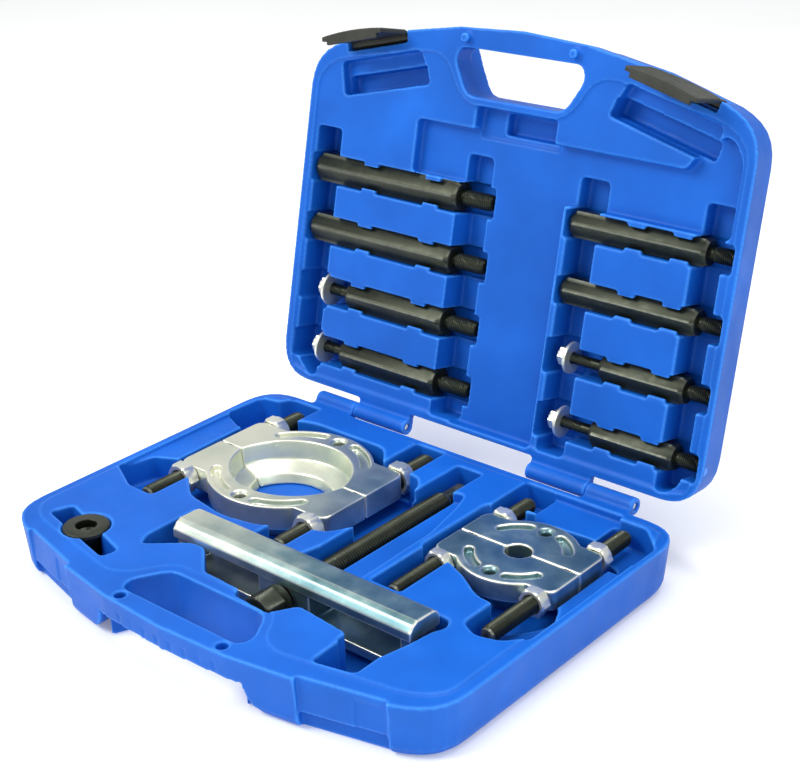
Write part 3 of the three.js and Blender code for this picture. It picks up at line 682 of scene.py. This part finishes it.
def make_nut(name, size, x, y, end, side):
    flats, thick, bore = size["flats"], size["thick"], size["stud"] + ROOM
    corner = flats / math.sqrt(3)
    half = thick / 2
    phase = math.pi / 6
    rings = [
        ring(-half, bore + 0.7), ring(-half, corner - 1.4, flats, phase),
        ring(-half + 0.9, corner, flats, phase),
        ring(half - 0.9, corner, flats, phase), ring(half, corner - 1.4, flats, phase),
        ring(half, bore + 0.7), ring(half - 0.7, bore), ring(-half + 0.7, bore),
    ]
    matrix = BASE_FRAME @ Matrix.Translation((x * MM, y * MM, size["stud_z"] * MM)) @ ALONG_Y
    piece = turned(f"{name}_nut_{end}_{side}_detail", rings, matrix, closed=True)
    finish_piece(piece, f"{name}_nut_{end}_{side}")


def make_separators():
    for name, size in SEPARATORS.items():
        half = separator_half(size)
        centre = BASE_FRAME @ Matrix.Translation((size["x"] * MM, -size["out"] * MM, size["top"] * MM))
        for end, turn in (("rear", 0), ("front", math.pi)):
            mesh = half.copy()
            mesh.transform(centre @ Matrix.Rotation(turn, 4, "Z"))
            piece = moulded(f"{name}_separator_{end}_detail", mesh, voxel=0.5, rounds=26, keep=0.5)
            finish_piece(piece, f"{name}_separator_{end}", angle=0)
        for side, mirror in SIDES:
            x = size["x"] + mirror * size["span"]
            first, last = size["ends"][side]
            radius = size["stud"]
            rings = [
                ring(-last, 0.4), ring(-last, radius - 1.3), ring(-last + 1.2, radius - 0.7),
                *thread(-last + 1.2, -first - 1.2, radius, size["pitch"], 0.7),
                ring(-first - 1.2, radius - 0.7), ring(-first, radius - 1.3), ring(-first, 0.4),
            ]
            matrix = BASE_FRAME @ Matrix.Translation((x * MM, 0, size["stud_z"] * MM)) @ ALONG_Y
            stud = turned(f"{name}_stud_{side}_detail", rings, matrix)
            finish_piece(stud, f"{name}_stud_{side}", angle=40)
            for end, way in (("rear", 1), ("front", -1)):
                y = -size["out"] + way * (size["lug_depth"] + size["thick"] / 2 + GAP)
                make_nut(name, size, x, y, end, side)


# ---------------------------------------------------------------- yoke, screw and cone

SCREW = dict(
    x=22, z=-10.5, radius=7, shoulder=50, collar_at=198, collar=9.8, head=204, end=218, flats=19, pitch=2.0,
)
CONE = dict(x=-118, out=223.6, top=1.3)


def make_screw():
    radius, flats = SCREW["radius"], SCREW["flats"]
    corner = flats / math.sqrt(3)
    head, end, shoulder = -SCREW["head"], -SCREW["end"], -SCREW["shoulder"]
    collar_at, collar = -SCREW["collar_at"], SCREW["collar"]
    rings = [
        ring(end, 0.4), ring(end, flats * 0.44, flats), ring(end + 0.5, corner - 1.2, flats),
        ring(end + 1.8, corner, flats), ring(head, corner, flats),
        ring(head, collar - 0.6), ring(head + 0.6, collar),
        ring(collar_at - 0.8, collar), ring(collar_at, collar - 0.8), ring(collar_at, radius - 0.6),
        ring(collar_at + 3, radius - 0.6),
        *thread(collar_at + 3, shoulder - 2, radius, SCREW["pitch"], 0.9, 8),
        ring(shoulder - 2, radius - 0.9), ring(shoulder, radius - 1.8), ring(shoulder, 3.4),
        ring(shoulder - 8, 3.4), ring(shoulder - 8, 0.4),
    ]
    matrix = BASE_FRAME @ Matrix.Translation((SCREW["x"] * MM, 0, SCREW["z"] * MM)) @ ALONG_Y
    finish_piece(turned("forcing_screw_detail", rings, matrix), "forcing_screw", angle=38)


def make_cone():
    rings = [
        ring(0, 6.9), ring(0, 13.2), ring(-0.3, 13.9), ring(-1.0, 14.4), ring(-2.8, 14.4),
        ring(-3.3, 14.0), ring(-3.3, 11.9), ring(-3.9, 11.4), ring(-21.4, 7.7), ring(-22, 7.2),
        ring(-22, 5.4), ring(-21.5, 5.0), ring(-6.2, 5.0), ring(-5.3, 6.5), ring(-0.5, 6.5),
    ]
    at = Matrix.Translation((CONE["x"] * MM, -CONE["out"] * MM, CONE["top"] * MM))
    piece = turned("pilot_cone_detail", rings, BASE_FRAME @ at @ ALONG_Z, closed=True)
    finish_piece(piece, "pilot_cone")


YOKE = dict(x=24.5, out=184.5, half=93.5, width=25, arm=11, top=9, bottom=-30, boss_half=20, end=9)
ACROSS = Matrix(((0, 0, 1, 0), (1, 0, 0, 0), (0, 1, 0, 0), (0, 0, 0, 1)))  # a prism's own z along X


def yoke_arm(z, way):
    """One arm, flat inside at z and crowned away from it. way is 1 for the upper arm, -1 for the lower."""
    half, arm = YOKE["width"] / 2, YOKE["arm"]
    profile = [
        (-half, 0), (half, 0), (half, 6.5), (half - 1.3, 8.7), (half - 4, 10.4),
        (-half + 6.5, arm), (-half + 3, 9.2), (-half, 5.5),
    ]
    mesh = prism_mesh([(y, way * height) for y, height in profile], -YOKE["half"], YOKE["half"])
    mesh.transform(BASE_FRAME @ Matrix.Translation((YOKE["x"] * MM, -YOKE["out"] * MM, z * MM)) @ ACROSS)
    return mesh


def make_yoke():
    """Two arms joined by the centre boss and the ends, with a bore for the screw."""
    out, top, bottom = YOKE["out"], YOKE["top"], YOKE["bottom"]
    half = YOKE["width"] / 2
    solid = [yoke_arm(top - YOKE["arm"], 1), yoke_arm(bottom + YOKE["arm"], -1)]
    left, right = SCREW["x"] - YOKE["boss_half"], SCREW["x"] + YOKE["boss_half"]
    solid.append(box_mesh(left, right, 1 - half - out, half - 1 - out, bottom + 3, top - 8, BASE_FRAME))
    for _, mirror in SIDES:
        inner = YOKE["x"] + mirror * (YOKE["half"] - YOKE["end"])
        outer = YOKE["x"] + mirror * (YOKE["half"] - 1.5)
        left, right = min(inner, outer), max(inner, outer)
        solid.append(box_mesh(left, right, 2 - half - out, half - 2 - out, bottom + 6, top - 6, BASE_FRAME))
    place = Matrix.Translation((SCREW["x"] * MM, 0, SCREW["z"] * MM))
    radius = SCREW["radius"] + ROOM
    bore = turned("bore", [ring(-out - 60, radius), ring(-out + 60, radius)], BASE_FRAME @ place @ ALONG_Y)
    mesh = cut_away(joined("yoke", solid), [bore.data])
    bpy.data.objects.remove(bore)
    finish_piece(moulded("yoke_detail", mesh, voxel=0.5, rounds=20, keep=0.5), "yoke", angle=0)


# ---------------------------------------------------------------- case

SNAP_PLACES = {"large": (-112, -58), "small": (100, 132)}
SNAP = dict(half=6, over=2.4, into=1, low=-5, high=-1.9)  # half its length, over the rod, into the wall
LATCH = dict(
    x=117.5, up=251, angle=13.5, pivot=7, half=25.5, inner=1.2, outer=5.3, sag=1.6, tip=33, ribs=12,
    barrel=3.2, bore=1.8,
)


def snap_bumps():
    """Small lips over the edges of the rods' beds, which hold the rods in."""
    lips = []
    for name, places in SNAP_PLACES.items():
        bed = RODS[name]["flats"] / 2 + 0.6
        inner, outer = bed - SNAP["over"], bed + SNAP["into"]
        for up in ROW_UP:
            for x in places:
                left, right = x - SNAP["half"], x + SNAP["half"]
                for near, far in ((up + inner, up + outer), (up - outer, up - inner)):
                    lips.append(box_mesh(left, right, near, far, SNAP["low"], SNAP["high"], LID_FRAME))
    return lips


def make_case():
    """Both halves. A plug in each blow hole keeps the skin on the outside of the hollow walls."""
    base_plug = box_mesh(17.5, 22.5, -11.5, -9.2, -24.5, -19.5, BASE_FRAME)
    lid_plug = box_mesh(17.5, 22.5, 9.2, 11.5, -22.5, -17.5, LID_FRAME)
    for node, extra in (("case_base", [base_plug]), ("case_lid", [lid_plug, *snap_bumps()])):
        mesh = joined(node, [cad_mesh(node), *extra])
        finish_piece(moulded(f"{node}_detail", mesh, voxel=0.9, rounds=5, keep=0.4), node, angle=0)


def latch_plate(matrix):
    """The plate, with ribs along it and its outer face bulging in the middle."""
    inner, outer, tip = LATCH["inner"], LATCH["outer"], LATCH["tip"]
    profile = [(inner, -2), (inner, tip), (outer + 0.2, tip), (outer + 0.7, tip - 0.8)]
    for i in range(LATCH["ribs"]):
        z = tip - 2.2 - 2 * i
        profile += [(outer - 0.3, z), (outer + 0.7, z - 0.7), (outer + 0.7, z - 1.3)]
    profile += [(outer - 0.2, 6), (outer - 0.6, 1), (outer - 1.6, -1.5), (outer - 2.6, -2)]
    count = len(profile)
    stations = np.linspace(-LATCH["half"], LATCH["half"], 25)
    vertices = []
    for x in stations:
        drop = LATCH["sag"] * (x / LATCH["half"]) ** 2
        vertices += [(x, y - (drop if y > inner else 0), z) for y, z in profile]
    faces = [tuple(range(count)), tuple(range(len(vertices) - count, len(vertices)))[::-1]]
    for i in range(len(stations) - 1):
        for k in range(count):
            here, there = i * count, (i + 1) * count
            faces.append((here + k, there + k, there + (k + 1) % count, here + (k + 1) % count))
    return mesh_from("plate", vertices, faces, matrix)


def make_latches():
    for side, mirror in SIDES:
        place = Matrix.Translation((mirror * LATCH["x"] * MM, LATCH["up"] * MM, -LATCH["pivot"] * MM))
        matrix = LID_FRAME @ place @ Matrix.Rotation(math.radians(-mirror * LATCH["angle"]), 4, "Z")
        half, tip, inner = LATCH["half"], LATCH["tip"], LATCH["inner"]
        radius = LATCH["barrel"]
        rings = [ring(-half, 0.3), ring(-half, radius), ring(half, radius), ring(half, 0.3)]
        barrel = turned("barrel", rings, matrix)
        hook = box_mesh(4 - half, half - 4, inner - 2.7, inner + 1, tip - 3, tip, matrix)
        mesh = joined("latch", [barrel.data, hook, latch_plate(matrix)])
        bpy.data.objects.remove(barrel)
        bm = bmesh.new()
        bm.from_mesh(mesh)
        bmesh.ops.recalc_face_normals(bm, faces=bm.faces)
        bm.to_mesh(mesh)
        bm.free()
        bore = turned("bore", [ring(-60, LATCH["bore"]), ring(60, LATCH["bore"])], matrix)
        mesh = cut_away(mesh, [bore.data])
        bpy.data.objects.remove(bore)
        piece = moulded(f"latch_{side}_detail", mesh, voxel=0.35, rounds=2, keep=0.4)
        finish_piece(piece, f"latch_{side}", angle=0)


def dress_plain_nodes():
    for node in ("hinge_pin_left", "hinge_pin_right", "latch_pin_left", "latch_pin_right", "screw_tip"):
        piece = frame["nodes"][node]
        piece.data.materials.clear()
        piece.data.materials.append(MATERIALS[SLOT_OF[node]])


make_camera()
make_studio()
make_rods()
make_separators()
make_screw()
make_cone()
make_yoke()
make_latches()
make_case()
dress_plain_nodes()
